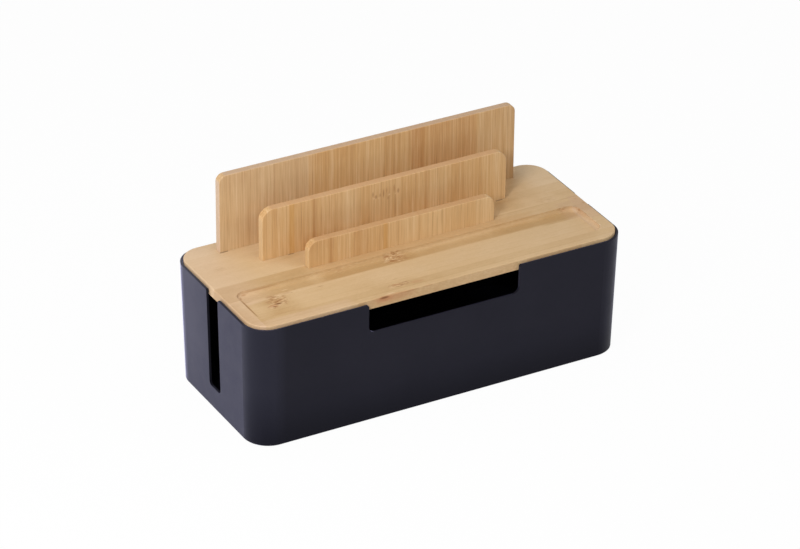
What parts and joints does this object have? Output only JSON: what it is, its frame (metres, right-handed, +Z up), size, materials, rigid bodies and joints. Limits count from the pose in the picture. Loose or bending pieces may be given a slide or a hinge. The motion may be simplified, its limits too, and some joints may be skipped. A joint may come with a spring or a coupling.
{
  "type": "cable management box",
  "caption": "Open moulded box with cable openings in its walls and a lift-off bamboo lid carrying a pen tray and stepped upright dividers for phones and tablets.",
  "frame": {"origin": "on the table, under the centre of the box", "axes": "+X to the right along the box's length, +Y from the notched front to the back, +Z up"},
  "size_m": [0.4, 0.172, 0.2104],
  "materials": {
    "shell": "matt",
    "feet": "matt",
    "lid_bamboo": "satin",
    "divider_bamboo": "satin",
    "screw_steel": "satin"
  },
  "bodies": {
    "box": {"box_shell": "shell", "foot_front_left": "feet", "foot_front_right": "feet", "foot_back_left": "feet", "foot_back_right": "feet"},
    "lid": {"lid_board": "lid_bamboo", "divider_low": "divider_bamboo", "divider_middle": "divider_bamboo", "divider_tall": "divider_bamboo", "divider_low_screws": "screw_steel", "divider_middle_screws": "screw_steel", "divider_tall_screws": "screw_steel"}
  },
  "joints": [
    {"name": "lid_lift", "type": "slide", "parent": "box", "child": "lid", "axis": [0, 0, 1], "range_m": [0, 0.06]}
  ]
}
